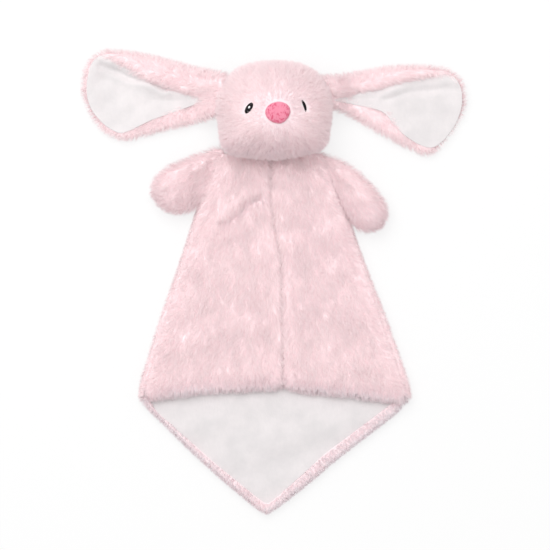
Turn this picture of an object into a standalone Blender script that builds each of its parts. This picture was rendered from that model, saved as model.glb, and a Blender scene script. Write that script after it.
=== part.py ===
"""A bunny comfort blanket, lying on its back: a square double-layer blanket folded like a kite,
with a stuffed head, two long ears and two short arms.

Metres. The head points along +Y and the face along +Z. Left is -X and right is +X, as seen from
above. The origin is on the underside of the back panel, on the surface that the toy lies on.
"""
import math

import bmesh
import bpy
from mathutils import Vector

# Cloth and clearances
PLUSH = 0.005               # plush cloth with its pile pressed down
LINING = 0.0015             # smooth inner cloth
GAP = 0.0003                # between faces that touch
SEAT = 0.0005               # under trim on a rounded surface
LOOSE = 0.0009              # between a cover and its stuffing
PANEL_GAP = 0.001           # between panels that move past each other

# Blanket, folded like a kite
BLANKET_TOP_Y = 0.1323      # gathered edge at the neck
HEM_Y = -0.098              # hem of the folded sides, at their outer corners
HEM_RISE = 0.012            # the hem lies higher at the centre front
CHEST_Y = 0.054             # lowest point of the sewn chest, on the side folds
LEFT_TOP_WIDTH = 0.060
LEFT_HEM_WIDTH = 0.132
RIGHT_TOP_WIDTH = 0.0535
RIGHT_HEM_WIDTH = 0.134
FRONT_TOP_X = -0.004        # the centre front line leans a little to the right
FRONT_HEM_X = 0.0085
BORDER = 0.009              # plush turned over the blanket's edge
SELVEDGE = 0.0025           # plush turned down where a panel meets the next one
EDGE_ROUND = 0.002
HEM_CORNER_RADIUS = 0.008
FOLD_HEIGHT = 0.0012        # soft folds on the front
FOLD_FAN = math.radians(13)
FOLD_FAN_Y = 0.230          # the folds fan out from here

# Lowest corner
CORNER_Y = -0.102
CORNER_WIDTH = 0.129
APEX_X = -0.007
APEX_Y = -0.207
APEX_RADIUS = 0.012

# Neck
NECK_RADIUS = 0.005
NECK_LENGTH = 0.036
NECK_Z = 0.008

# Head
HEAD_Y = 0.183
HEAD_WIDTH = 0.109
HEAD_LENGTH = 0.095
HEAD_SEAM_Z = 0.030         # height of the seam between the back and the side panels
HEAD_FRONT_DEPTH = 0.041
HEAD_BACK_DEPTH = 0.0325
FACE_X = 0.003              # the face is turned a little to the right
OUTLINE_POWER = 2.3
MUZZLE_HEIGHT = 0.005
MUZZLE_RADIUS = 0.020
CROWN_SHARE = 0.05          # the head narrows this much towards the crown

# Face
NOSE_Y = 0.185
NOSE_WIDTH = 0.025
NOSE_LENGTH = 0.021
NOSE_HEIGHT = 0.006
EYE_SPAN = 0.0275           # from the centre of the face to each eye
EYE_Y = 0.190
EYE_WIDTH = 0.008
EYE_LENGTH = 0.012
EYE_HEIGHT = 0.0016
EYE_TILT = math.radians(20)
SPARK_WIDTH = 0.0026
SPARK_HEIGHT = 0.0008
SPARK_X = -0.001
SPARK_Y = 0.0025

# Ears
EAR_LENGTH = 0.137
EAR_WIDTH = 0.083
EAR_BASE_Z = 0.0215         # underside of the ear where it is sewn on
EAR_DROP = 0.030            # the ear comes down to the table over this length
EAR_RIM = 0.0085            # height of the turned edge
EAR_ROLL = 0.0055           # the upper edge is rolled, and this much higher
EAR_ANGLES = {"left": math.radians(178), "right": math.radians(-6)}
EAR_BASE_YS = {"left": 0.201, "right": 0.203}
EAR_STATION_SHARES = (0.0, 0.12, 0.26, 0.40, 0.53, 0.65, 0.76, 0.86, 0.94, 0.985, 1.0)
EAR_WIDTH_SHARES = ((0.0, 0.46), (0.12, 0.53), (0.26, 0.65), (0.53, 0.88), (0.76, 1.0),
                    (0.86, 0.95), (0.94, 0.74), (0.985, 0.38), (1.0, 0.0))
EAR_LINING_START_SHARE = 0.19
EAR_LINING_END_SHARE = 0.94
EAR_LINING_SHARES = ((0.0, 0.10), (0.26, 0.42), (0.53, 0.70), (0.76, 0.80), (0.86, 0.76), (0.94, 0.60),
                     (0.985, 0.30), (1.0, 0.0))
EAR_CENTRE_SHARE = 0.55

# Arms: the outline is the hull of the shoulder seam and a round paw
ARM_SEAM_YS = {"left": (0.091, 0.150), "right": (0.071, 0.142)}
PAW_OFFSETS = {"left": (0.0363, -0.0135), "right": (0.0285, -0.0185)}   # outwards and up from the seam
PAW_RADIUS = 0.021
ARM_TOP = 0.031             # greatest height above the table
ARM_SEAM_Z = 0.014
ARM_PINCH = 0.008           # height of the seam line at the shoulder
ARM_PINCH_LENGTH = 0.030
ARM_FLAT_SHARE = 0.12       # how much of the underside's depth is pressed flat

# Evenness of the curves, in points
RING_POINTS = 28
ARM_ARC_POINTS = 11
ARM_SIDE_POINTS = 3
PANEL_SIDE_POINTS = 6
CORNER_POINTS = 4
NECK_POINTS = 16
NECK_RINGS = 5
PATCH_POINTS = 16
SEAM_POINTS = 3
HEAD_RINGS = 6
ARM_RINGS = 4
PANEL_RING_SHARES = (0.86, 0.68, 0.5, 0.32, 0.15)
EAR_RING_SHARES = (0.75, 0.5, 0.25)
PATCH_RING_SHARES = ((0, 0), (0.5, 0), (1, 0), (0.92, 0.4), (0.7, 0.75), (0.38, 0.95), (0, 1))

SIDES = {"left": -1, "right": 1}

PINK = (0.93, 0.72, 0.76)
SHADE_PINK = (0.90, 0.68, 0.73)
WHITE = (0.90, 0.88, 0.88)
NOSE_PINK = (0.92, 0.36, 0.50)
BLACK = (0.015, 0.013, 0.015)
FIBRE = (0.95, 0.95, 0.93)


def clear_scene():
    for old in list(bpy.data.objects):
        bpy.data.objects.remove(old, do_unlink=True)


def make_material(name, colour, roughness):
    material = bpy.data.materials.new(name)
    material.use_nodes = True
    shader = material.node_tree.nodes["Principled BSDF"]
    shader.inputs["Base Color"].default_value = (*colour, 1)
    shader.inputs["Roughness"].default_value = roughness
    shader.inputs["Metallic"].default_value = 0
    return material


def smooth_step(value):
    value = min(max(value, 0), 1)
    return value * value * (3 - 2 * value)


def read_table(shares, at):
    """Value of a table of (place, value) pairs, joined by straight runs."""
    for (start, first), (end, last) in zip(shares, shares[1:]):
        if at <= end:
            return first + (last - first) * (at - start) / (end - start)
    return shares[-1][1]


def along(first, last, share):
    return first + (last - first) * share


# Bodies and meshes

def make_pivot(name, place, parent=None):
    """An empty on a joint's axis, which carries the pieces that move about it."""
    pivot = bpy.data.objects.new(name, None)
    bpy.context.scene.collection.objects.link(pivot)
    pivot.location = place
    if parent:
        pivot.parent = parent
        pivot.location = Vector(place) - parent.location
    return pivot


def pivot_place(pivot):
    place = Vector((0, 0, 0))
    while pivot:
        place += pivot.location
        pivot = pivot.parent
    return place


def loft(rings):
    """Closed mesh through rings of points. A ring of one point is a pole, and other ends are capped."""
    mesh = bmesh.new()
    loops = [[mesh.verts.new(point) for point in ring] for ring in rings]
    for lower, upper in zip(loops, loops[1:]):
        count = max(len(lower), len(upper))
        for i in range(count):
            corners = []
            for loop, index in ((lower, i), (lower, i + 1), (upper, i + 1), (upper, i)):
                corner = loop[index % len(loop)]
                if corner not in corners:
                    corners.append(corner)
            mesh.faces.new(corners)
    for end in (loops[0], loops[-1]):
        if len(end) > 1:
            mesh.faces.new(end)
    bmesh.ops.recalc_face_normals(mesh, faces=mesh.faces)
    return mesh


def keep_side(mesh, place, normal):
    """Keeps what lies on the normal's side of a plane, and closes the cut."""
    geometry = mesh.verts[:] + mesh.edges[:] + mesh.faces[:]
    cut = bmesh.ops.bisect_plane(mesh, geom=geometry, plane_co=place, plane_no=normal, clear_inner=True)
    edges = [item for item in cut["geom_cut"] if isinstance(item, bmesh.types.BMEdge)]
    bmesh.ops.triangle_fill(mesh, edges=edges, use_beauty=True)
    bmesh.ops.recalc_face_normals(mesh, faces=mesh.faces)


def add_piece(name, mesh, material, pivot=None, smooth_angle=math.radians(40)):
    """Object from a mesh in world space. Its origin is on its pivot."""
    data = bpy.data.meshes.new(name)
    bmesh.ops.translate(mesh, verts=mesh.verts, vec=-pivot_place(pivot))
    mesh.to_mesh(data)
    mesh.free()
    data.materials.append(material)
    data.shade_smooth()
    data.set_sharp_from_angle(angle=smooth_angle)
    piece = bpy.data.objects.new(name, data)
    bpy.context.scene.collection.objects.link(piece)
    piece.parent = pivot
    return piece


# Outlines in plan

def cross_point(place_a, way_a, place_b, way_b):
    """Where two lines in plan cross."""
    turn = way_a.x * way_b.y - way_a.y * way_b.x
    away = place_b - place_a
    return place_a + way_a * ((away.x * way_b.y - away.y * way_b.x) / turn)


def inset_corners(corners, insets):
    """Moves each side of an anticlockwise polygon inwards. Side i starts at corner i."""
    lines = []
    for i, corner in enumerate(corners):
        way = (corners[(i + 1) % len(corners)] - corner).normalized()
        inwards = Vector((-way.y, way.x))
        lines.append((corner + inwards * insets[i], way))
    return [cross_point(*lines[i - 1], *lines[i]) for i in range(len(lines))]


def rounded_outline(corners, radii, side_points):
    """Points of a polygon with rounded corners, in order."""
    points = []
    count = len(corners)
    for i, corner in enumerate(corners):
        to_last = (corners[i - 1] - corner).normalized()
        to_next = (corners[(i + 1) % count] - corner).normalized()
        start = corner + to_last * radii[i]
        end = corner + to_next * radii[i]
        for k in range(CORNER_POINTS):
            share = k / (CORNER_POINTS - 1)
            bend = along(along(start, corner, share), along(corner, end, share), share)
            points.append(bend)
        after = corners[(i + 1) % count]
        stop = after - to_next * radii[(i + 1) % count]
        for k in range(1, side_points[i]):
            points.append(along(end, stop, k / side_points[i]))
    return points


def shrunk(points, centre, share):
    return [along(centre, point, share) for point in points]


def drawn_in(points, centre, distance):
    """Moves each point of an outline the same distance towards the centre."""
    return [point + (centre - point).normalized() * distance for point in points]


def raised(points, height):
    """Gives plan points a height, which is a number or a function of the point."""
    if callable(height):
        return [(point.x, point.y, height(point)) for point in points]
    return [(point.x, point.y, height) for point in points]


def middle(points):
    return sum(points, Vector((0, 0))) / len(points)


# Heights of the blanket's layers

BACK_LINING_Z = PLUSH + GAP
BACK_TOP_Z = BACK_LINING_Z + LINING
FRONT_LINING_Z = BACK_TOP_Z + GAP
FRONT_PLUSH_Z = FRONT_LINING_Z + LINING + GAP
FRONT_Z = FRONT_PLUSH_Z + PLUSH
FRONT_TOP_Z = FRONT_Z + FOLD_HEIGHT
CORNER_TOP_Z = BACK_TOP_Z + GAP

# Joint axes
FLAP_AXIS_Z = FRONT_TOP_Z / 2 + GAP
CORNER_AXIS_Z = (FRONT_TOP_Z + CORNER_TOP_Z) / 2 + PANEL_GAP
CORNER_AXIS_Y = CORNER_Y + SEAT / 2
ARM_AXIS_Z = FRONT_TOP_Z + GAP
NECK_Y = BLANKET_TOP_Y + GAP + NECK_RADIUS
EAR_AXIS_Z = EAR_BASE_Z + EAR_RIM + EAR_ROLL

FOLD_WIDTHS = {"left": (LEFT_TOP_WIDTH, LEFT_HEM_WIDTH), "right": (RIGHT_TOP_WIDTH, RIGHT_HEM_WIDTH)}


def fold_point(side, y):
    """Point on a side fold, at height y in plan. The line runs on above the blanket."""
    top, hem = FOLD_WIDTHS[side]
    share = (BLANKET_TOP_Y - y) / (BLANKET_TOP_Y - HEM_Y)
    return Vector((SIDES[side] * along(top, hem, share), y))


def front_point(y):
    """Point on the centre front line."""
    share = (BLANKET_TOP_Y - y) / (BLANKET_TOP_Y - HEM_Y)
    return Vector((along(FRONT_TOP_X, FRONT_HEM_X, share), y))


def fold_way(side):
    return (fold_point(side, HEM_Y) - fold_point(side, BLANKET_TOP_Y)).normalized()


def chest_corners(side):
    """Lower edge of the sewn chest: it leaves the side fold at a right angle."""
    outer = fold_point(side, CHEST_Y)
    way = fold_way(side)
    inner = cross_point(outer, Vector((-way.y, way.x)), front_point(BLANKET_TOP_Y),
                        front_point(HEM_Y) - front_point(BLANKET_TOP_Y))
    return outer, inner


def soft_folds(point):
    """Height of the front, with folds that fan out from behind the head."""
    fan = math.atan2(point.x, FOLD_FAN_Y - point.y)
    return FRONT_Z + FOLD_HEIGHT * (1 - math.cos(2 * math.pi * fan / FOLD_FAN)) / 2


def back_panel(material, lining):
    low = CORNER_Y + SEAT
    corners = [fold_point("left", BLANKET_TOP_Y), fold_point("left", low),
               fold_point("right", low), fold_point("right", BLANKET_TOP_Y)]
    radii = (EDGE_ROUND, HEM_CORNER_RADIUS, HEM_CORNER_RADIUS, EDGE_ROUND)
    sides = (PANEL_SIDE_POINTS,) * 4
    outline = rounded_outline(corners, radii, sides)
    inner = rounded_outline(inset_corners(corners, (EDGE_ROUND,) * 4), radii, sides)
    add_piece("back_panel_plush", loft([
        raised(inner, 0),
        raised(outline, EDGE_ROUND),
        raised(outline, PLUSH),
    ]), material)
    add_piece("back_panel_lining", loft([
        raised(inner, BACK_LINING_Z),
        raised(inner, BACK_TOP_Z),
    ]), lining)


def front_panel(name, corners, borders, radii, pivot, material, lining):
    """A panel of the folded sides: plush above, with its turned edges round the lining below."""
    side_points = (PANEL_SIDE_POINTS,) * 4
    clear = inset_corners(corners, (PANEL_GAP / 2,) * 4)
    outline = rounded_outline(clear, radii, side_points)
    soft = rounded_outline(inset_corners(clear, (EDGE_ROUND,) * 4), radii, side_points)
    inner_corners = inset_corners(clear, borders)
    inner = rounded_outline(inner_corners, radii, side_points)
    centre = middle(outline)
    rings = [
        raised(inner, FRONT_PLUSH_Z),
        raised(inner, FRONT_LINING_Z),
        raised(outline, FRONT_LINING_Z),
        raised(outline, FRONT_Z - EDGE_ROUND),
        raised(soft, soft_folds),
    ]
    rings += [raised(shrunk(soft, centre, share), soft_folds) for share in PANEL_RING_SHARES]
    rings.append(raised([centre], soft_folds))
    add_piece(name + "_plush", loft(rings), material, pivot)
    lining_outline = rounded_outline(inset_corners(inner_corners, (GAP,) * 4), radii, side_points)
    add_piece(name + "_lining", loft([
        raised(lining_outline, FRONT_LINING_Z),
        raised(lining_outline, FRONT_PLUSH_Z - GAP),
    ]), lining, pivot)


def chest(side, material, lining):
    outer, inner = chest_corners(side)
    corners = [fold_point(side, BLANKET_TOP_Y), outer, inner, front_point(BLANKET_TOP_Y)]
    borders = [SELVEDGE, SELVEDGE, BORDER, SELVEDGE]
    if side == "right":
        corners = [corners[0], corners[3], corners[2], corners[1]]
        borders = borders[::-1]
    front_panel(side + "_chest", corners, borders, (EDGE_ROUND,) * 4, None, material, lining)


def flap(side, material, lining):
    outer, inner = chest_corners(side)
    hem_outer = fold_point(side, HEM_Y)
    hem_inner = front_point(HEM_Y + HEM_RISE)
    corners = [outer, hem_outer, hem_inner, inner]
    borders = [SELVEDGE, BORDER, BORDER, SELVEDGE]
    radii = [EDGE_ROUND, HEM_CORNER_RADIUS, HEM_CORNER_RADIUS, EDGE_ROUND]
    if side == "right":
        corners = [corners[0], corners[3], corners[2], corners[1]]
        borders = borders[::-1]
        radii = [radii[0], radii[3], radii[2], radii[1]]
    pivot = make_pivot(side + "_flap_pivot", (*fold_point(side, CHEST_Y), FLAP_AXIS_Z))
    front_panel(side + "_flap", corners, borders, radii, pivot, material, lining)


def corner(material, lining):
    """The lowest corner of the blanket, with its edge turned over the lining."""
    pivot = make_pivot("corner_pivot", (0, CORNER_AXIS_Y, CORNER_AXIS_Z))
    corners = [Vector((-CORNER_WIDTH, CORNER_Y)), Vector((APEX_X, APEX_Y)), Vector((CORNER_WIDTH, CORNER_Y))]
    radii = (EDGE_ROUND * 2, APEX_RADIUS, EDGE_ROUND * 2)
    sides = (PANEL_SIDE_POINTS,) * 3
    inner_corners = inset_corners(corners, (BORDER, BORDER, SELVEDGE))
    outline = rounded_outline(corners, radii, sides)
    low = rounded_outline(inset_corners(corners, (EDGE_ROUND,) * 3), radii, sides)
    inner = rounded_outline(inner_corners, radii, sides)
    add_piece("corner_plush", loft([
        raised(low, 0),
        raised(outline, EDGE_ROUND),
        raised(outline, CORNER_TOP_Z - EDGE_ROUND),
        raised(low, CORNER_TOP_Z),
        raised(inner, CORNER_TOP_Z),
        raised(inner, PLUSH),
    ]), material, pivot)
    seated = rounded_outline(inset_corners(inner_corners, (GAP,) * 3), radii, sides)
    add_piece("corner_lining", loft([
        raised(seated, BACK_LINING_Z),
        raised(seated, BACK_TOP_Z),
    ]), lining, pivot)


def neck_gather(material):
    """The blanket's gathered top, drawn into a round roll that the head nods about."""
    half = NECK_LENGTH / 2
    stations = [(-half, 0)]
    for k in range(NECK_RINGS):
        angle = math.pi / 2 * (k + 1) / NECK_RINGS
        stations.append((-half + NECK_RADIUS * (1 - math.cos(angle)), NECK_RADIUS * math.sin(angle)))
    stations += [(-x, radius) for x, radius in stations[::-1]]
    rings = []
    for x, radius in stations:
        if radius == 0:
            rings.append([(x, NECK_Y, NECK_Z)])
            continue
        ring = []
        for k in range(NECK_POINTS):
            angle = 2 * math.pi * k / NECK_POINTS
            ring.append((x, NECK_Y + radius * math.cos(angle), NECK_Z + radius * math.sin(angle)))
        rings.append(ring)
    add_piece("neck_gather", loft(rings), material)


# Head

HEAD_CENTRE = Vector((0, HEAD_Y))
HEAD_HALF_WIDTH = HEAD_WIDTH / 2
HEAD_HALF_LENGTH = HEAD_LENGTH / 2


def head_half_width(y):
    """Half the width of the head's outline, at height y in plan."""
    share = min(abs(y - HEAD_Y) / HEAD_HALF_LENGTH, 1)
    taper = 1 - CROWN_SHARE * (y - HEAD_Y) / HEAD_HALF_LENGTH
    return HEAD_HALF_WIDTH * taper * (1 - share ** OUTLINE_POWER) ** (1 / OUTLINE_POWER)


def head_outline():
    points = []
    for k in range(RING_POINTS):
        angle = 2 * math.pi * (k + 0.5) / RING_POINTS
        across = math.copysign(abs(math.cos(angle)) ** (2 / OUTLINE_POWER), math.cos(angle))
        up = math.copysign(abs(math.sin(angle)) ** (2 / OUTLINE_POWER), math.sin(angle))
        taper = 1 - CROWN_SHARE * up
        points.append(Vector((HEAD_HALF_WIDTH * across * taper, HEAD_Y + HEAD_HALF_LENGTH * up)))
    return points


def dome(count):
    """Rings of a dome, from its edge inwards: the size of each and its height, as shares."""
    rings = []
    for k in range(count):
        angle = math.pi / 2 * k / count
        rings.append((math.cos(angle) ** (2 / OUTLINE_POWER), math.sin(angle) ** (2 / OUTLINE_POWER)))
    return rings


def muzzle(point):
    away = (point - Vector((FACE_X, NOSE_Y))).length / MUZZLE_RADIUS
    return MUZZLE_HEIGHT * math.exp(-away * away)


def head_dome(outline, depth, floor=None):
    """Rings from the seam up over the face, or down over the back where a floor is given."""
    rings = []
    centre = HEAD_CENTRE
    for size, rise in dome(HEAD_RINGS) + [(0, 1)]:
        points = shrunk(outline, centre, size) if size else [centre]
        if floor is None:
            rings.append([(p.x, p.y, HEAD_SEAM_Z + GAP / 2 + rise * (depth + muzzle(p))) for p in points])
        else:
            rings.append([(p.x, p.y, max(HEAD_SEAM_Z - GAP / 2 - rise * depth, floor)) for p in points])
    return rings


def head_front_height(point):
    """Height of the face above the table, without the facets."""
    up = (point.y - HEAD_Y) / HEAD_HALF_LENGTH
    taper = 1 - CROWN_SHARE * up
    across = abs(point.x) / (HEAD_HALF_WIDTH * taper)
    size = (across ** OUTLINE_POWER + abs(up) ** OUTLINE_POWER) ** (1 / OUTLINE_POWER)
    rise = (1 - size ** OUTLINE_POWER) ** (1 / OUTLINE_POWER)
    return HEAD_SEAM_Z + rise * (HEAD_FRONT_DEPTH + muzzle(point))


def head_cover(material, fibre, pivot):
    outline = head_outline()
    inner = drawn_in(outline, HEAD_CENTRE, PLUSH)
    for side, way in SIDES.items():
        shell = loft(head_dome(outline, HEAD_FRONT_DEPTH)[::-1] + head_dome(inner, HEAD_FRONT_DEPTH - PLUSH))
        keep_side(shell, (FACE_X + way * GAP / 2, 0, 0), (way, 0, 0))
        add_piece("head_" + side + "_panel", shell, material, pivot)
    back = loft(head_dome(outline, HEAD_BACK_DEPTH, 0)[::-1]
                + head_dome(inner, HEAD_BACK_DEPTH - PLUSH, PLUSH))
    add_piece("head_back_panel", back, material, pivot)
    inside = PLUSH + SEAT
    filled = drawn_in(outline, HEAD_CENTRE, inside)
    add_piece("head_stuffing", loft(
        head_dome(filled, HEAD_BACK_DEPTH - inside, inside)[::-1]
        + head_dome(filled, HEAD_FRONT_DEPTH - inside)
    ), fibre, pivot)


def patch_on_head(name, centre, width, length, tilt, height, lift, material, pivot, power=2):
    """A soft oval piece that lies on the face. Lift is the height of its underside."""
    rings = []
    for size, rise in PATCH_RING_SHARES:
        ring = []
        for k in range(PATCH_POINTS if size else 1):
            angle = 2 * math.pi * k / PATCH_POINTS
            across = math.copysign(abs(math.cos(angle)) ** (2 / power), math.cos(angle)) * size * width / 2
            up = math.copysign(abs(math.sin(angle)) ** (2 / power), math.sin(angle)) * size * length / 2
            point = centre + Vector((across * math.cos(tilt) - up * math.sin(tilt),
                                     across * math.sin(tilt) + up * math.cos(tilt)))
            ring.append((point.x, point.y, head_front_height(point) + lift + rise * height))
        rings.append(ring)
    add_piece(name, loft(rings), material, pivot)


def face(nose_material, black, white, pivot):
    patch_on_head("nose", Vector((FACE_X, NOSE_Y)), NOSE_WIDTH, NOSE_LENGTH, 0, NOSE_HEIGHT, SEAT,
                  nose_material, pivot, power=2.4)
    for side, way in SIDES.items():
        centre = Vector((FACE_X + way * EYE_SPAN, EYE_Y))
        patch_on_head(side + "_eye", centre, EYE_WIDTH, EYE_LENGTH, way * EYE_TILT, EYE_HEIGHT, SEAT,
                      black, pivot)
        patch_on_head(side + "_eye_highlight", centre + Vector((SPARK_X, SPARK_Y)), SPARK_WIDTH,
                      SPARK_WIDTH, 0, SPARK_HEIGHT, SEAT + EYE_HEIGHT + GAP, white, pivot)


# Ears

def ear_height(along_ear):
    """Height of the ear's underside: sewn on high up, then down to the table."""
    return EAR_BASE_Z * (1 - smooth_step(along_ear / EAR_DROP))


def ear_outline(start_share, end_share, width_at):
    """Points in the ear's own plan: along the lower edge to the tip, and back along the upper one.

    width_at gives half the width from a station's share and its place along the ear.
    """
    lower = []
    upper = []
    for share in EAR_STATION_SHARES:
        x = EAR_LENGTH * along(start_share, end_share, share)
        half = width_at(share, x / EAR_LENGTH)
        lower.append(Vector((x, -half)))
        upper.append(Vector((x, half)))
    tip = lower[-1].lerp(upper[-1], 0.5)
    base = [along(upper[0], lower[0], (k + 1) / (SEAM_POINTS + 1)) for k in range(SEAM_POINTS)]
    return lower[:-1] + [tip] + upper[-2::-1] + base


def ear_half_width(station, place):
    return EAR_WIDTH / 2 * read_table(EAR_WIDTH_SHARES, place)


def lining_half_width(station, place):
    return ear_half_width(station, place) * read_table(EAR_LINING_SHARES, station)


def seated_half_width(station, place):
    return max(lining_half_width(station, place) - SEAT, 0)


def ear(side, material, lining, head_pivot):
    way = SIDES[side]
    base_y = EAR_BASE_YS[side]
    base = Vector((way * (head_half_width(base_y) + SEAT), base_y))
    forward = Vector((math.cos(EAR_ANGLES[side]), math.sin(EAR_ANGLES[side])))
    upward = Vector((-forward.y, forward.x)) * way
    pivot = make_pivot(side + "_ear_pivot", (*base, EAR_AXIS_Z), head_pivot)

    def place(points, height):
        ring = []
        for point in points:
            spot = base + forward * point.x + upward * point.y
            edge = head_half_width(spot.y) + SEAT
            if way * spot.x < edge and abs(spot.y - HEAD_Y) < HEAD_HALF_LENGTH:
                spot.x = way * edge
            level = height(point) if callable(height) else height
            ring.append((spot.x, spot.y, ear_height(point.x) + level))
        return ring

    def rim(point):
        return EAR_RIM + EAR_ROLL * smooth_step(point.y / EAR_WIDTH * 4)

    outline = ear_outline(0, 1, ear_half_width)
    inner = ear_outline(EAR_LINING_START_SHARE, EAR_LINING_END_SHARE, lining_half_width)
    seat_share = SEAT / EAR_LENGTH
    seated = ear_outline(EAR_LINING_START_SHARE + seat_share, EAR_LINING_END_SHARE - seat_share,
                         seated_half_width)
    centre = Vector((EAR_LENGTH * EAR_CENTRE_SHARE, 0))
    soft = drawn_in(outline, centre, EDGE_ROUND)
    crest = [along(a, b, 0.5) for a, b in zip(outline, inner)]
    shares = EAR_RING_SHARES
    rings = [place([centre], 0)]
    rings += [place(shrunk(soft, centre, share), 0) for share in shares[::-1]]
    rings += [place(soft, 0), place(outline, EDGE_ROUND), place(outline, EAR_RIM - EDGE_ROUND)]
    rings += [place(crest, rim), place(inner, EAR_RIM), place(inner, PLUSH)]
    rings += [place(shrunk(inner, centre, share), PLUSH) for share in shares]
    rings.append(place([centre], PLUSH))
    add_piece(side + "_ear_plush", loft(rings), material, pivot)
    low = PLUSH + SEAT
    rings = [place([centre], low)]
    rings += [place(shrunk(seated, centre, share), low) for share in shares[::-1]]
    rings += [place(seated, low), place(seated, low + LINING)]
    rings += [place(shrunk(seated, centre, share), low + LINING) for share in shares]
    rings.append(place([centre], low + LINING))
    add_piece(side + "_ear_lining", loft(rings), lining, pivot)


# Arms

def shoulder(side):
    """Middle of the seam that holds the arm, on the blanket's fold."""
    return fold_point(side, sum(ARM_SEAM_YS[side]) / 2)


def arm_outline(side):
    """Hull of the shoulder seam and the round paw, anticlockwise for the left arm."""
    way = SIDES[side]
    outwards = Vector((way, 0))
    low, high = [fold_point(side, y) + outwards * SEAT for y in ARM_SEAM_YS[side]]
    offset = PAW_OFFSETS[side]
    centre = shoulder(side) + Vector((way * offset[0], offset[1]))
    touches = []
    for end, turn in ((high, -way), (low, way)):
        away = end - centre
        reach = math.acos(PAW_RADIUS / away.length)
        touches.append(math.atan2(away.y, away.x) + turn * reach)
    start, stop = touches
    while (stop - start) * way > 0:
        stop -= way * 2 * math.pi
    points = []
    for k in range(ARM_ARC_POINTS):
        angle = along(start, stop, k / (ARM_ARC_POINTS - 1))
        points.append(centre + Vector((math.cos(angle), math.sin(angle))) * PAW_RADIUS)
    upper = [along(high, points[0], k / ARM_SIDE_POINTS) for k in range(ARM_SIDE_POINTS)]
    lower = [along(points[-1], low, (k + 1) / ARM_SIDE_POINTS) for k in range(ARM_SIDE_POINTS)]
    seam = [along(low, high, (k + 1) / (SEAM_POINTS + 1)) for k in range(SEAM_POINTS)]
    return upper + points + lower + seam


def arm(side, material, fibre):
    way = SIDES[side]
    outline = arm_outline(side)
    centre = middle(outline)
    seam_middle = shoulder(side)
    pivot = make_pivot(side + "_arm_pivot", (*seam_middle, ARM_AXIS_Z))
    seam_way = fold_way(side)
    outwards = Vector((-seam_way.y, seam_way.x)) * way

    def seam_height(point):
        reach = (point - seam_middle).dot(outwards) / ARM_PINCH_LENGTH
        return along(ARM_PINCH, ARM_SEAM_Z, smooth_step(reach))

    def half(edge, inset, upper):
        rings = []
        for size, rise in dome(ARM_RINGS) + [(0, 1)]:
            points = shrunk(edge, centre, size) if size else [centre]
            ring = []
            for p in points:
                seam = seam_height(p)
                if upper:
                    depth = (ARM_TOP - ARM_SEAM_Z) * seam / ARM_SEAM_Z - inset
                    ring.append((p.x, p.y, seam + GAP / 2 + rise * depth))
                else:
                    depth = seam * (1 + ARM_FLAT_SHARE) - inset
                    ring.append((p.x, p.y, max(seam - GAP / 2 - rise * depth, inset)))
            rings.append(ring)
        return rings

    inner = drawn_in(outline, centre, PLUSH)
    inside = PLUSH + LOOSE
    filled = drawn_in(outline, centre, inside)
    add_piece(side + "_arm_front_panel", loft(half(outline, 0, True)[::-1] + half(inner, PLUSH, True)),
              material, pivot)
    add_piece(side + "_arm_back_panel", loft(half(outline, 0, False)[::-1] + half(inner, PLUSH, False)),
              material, pivot)
    add_piece(side + "_arm_stuffing", loft(half(filled, inside, False)[::-1] + half(filled, inside, True)),
              fibre, pivot)


def build():
    clear_scene()
    pink = make_material("plush", PINK, 0.95)
    shade = make_material("plush_border", SHADE_PINK, 0.95)
    white = make_material("lining", WHITE, 0.85)
    nose_pink = make_material("nose_velour", NOSE_PINK, 0.8)
    black = make_material("eye_thread", BLACK, 0.45)
    spark = make_material("highlight_thread", WHITE, 0.5)
    fibre = make_material("fibre_filling", FIBRE, 0.95)

    back_panel(pink, white)
    for side in SIDES:
        chest(side, pink, white)
        flap(side, pink, white)
        arm(side, pink, fibre)
    corner(shade, white)
    neck_gather(pink)
    head_pivot = make_pivot("head_pivot", (0, NECK_Y, NECK_Z))
    head_cover(pink, fibre, head_pivot)
    face(nose_pink, black, spark, head_pivot)
    for side in SIDES:
        ear(side, pink, white, head_pivot)
    bpy.context.view_layer.update()


build()
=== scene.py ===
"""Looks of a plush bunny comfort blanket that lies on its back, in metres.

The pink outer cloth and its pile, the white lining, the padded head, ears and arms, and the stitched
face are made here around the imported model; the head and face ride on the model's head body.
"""
import math

import bpy
import numpy as np
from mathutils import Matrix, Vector
from mathutils.kdtree import KDTree


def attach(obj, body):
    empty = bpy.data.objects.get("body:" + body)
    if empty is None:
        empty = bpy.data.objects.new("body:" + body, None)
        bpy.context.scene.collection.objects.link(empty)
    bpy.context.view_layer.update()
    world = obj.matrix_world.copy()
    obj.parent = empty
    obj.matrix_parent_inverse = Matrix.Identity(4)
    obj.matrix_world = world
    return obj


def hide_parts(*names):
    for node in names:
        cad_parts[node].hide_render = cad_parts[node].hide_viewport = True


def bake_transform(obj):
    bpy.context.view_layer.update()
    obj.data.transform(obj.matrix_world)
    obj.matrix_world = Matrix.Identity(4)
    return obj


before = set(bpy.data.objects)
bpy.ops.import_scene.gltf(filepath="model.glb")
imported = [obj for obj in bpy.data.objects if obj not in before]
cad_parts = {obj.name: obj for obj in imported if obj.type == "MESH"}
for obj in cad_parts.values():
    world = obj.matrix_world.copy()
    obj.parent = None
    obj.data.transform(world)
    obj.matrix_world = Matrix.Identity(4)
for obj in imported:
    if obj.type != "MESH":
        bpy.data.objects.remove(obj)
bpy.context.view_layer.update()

MM = 0.001
SIDES = {"left": -1, "right": 1}


# Number helpers

def smooth_step(x):
    x = np.clip(x, 0, 1)
    return x * x * (3 - 2 * x)


def fade(x):
    return 1 - smooth_step(x)


def mix(a, b, share):
    return a + (b - a) * share


def unit(v):
    return v / np.maximum(np.linalg.norm(v, axis=-1, keepdims=True), 1e-9)


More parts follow.
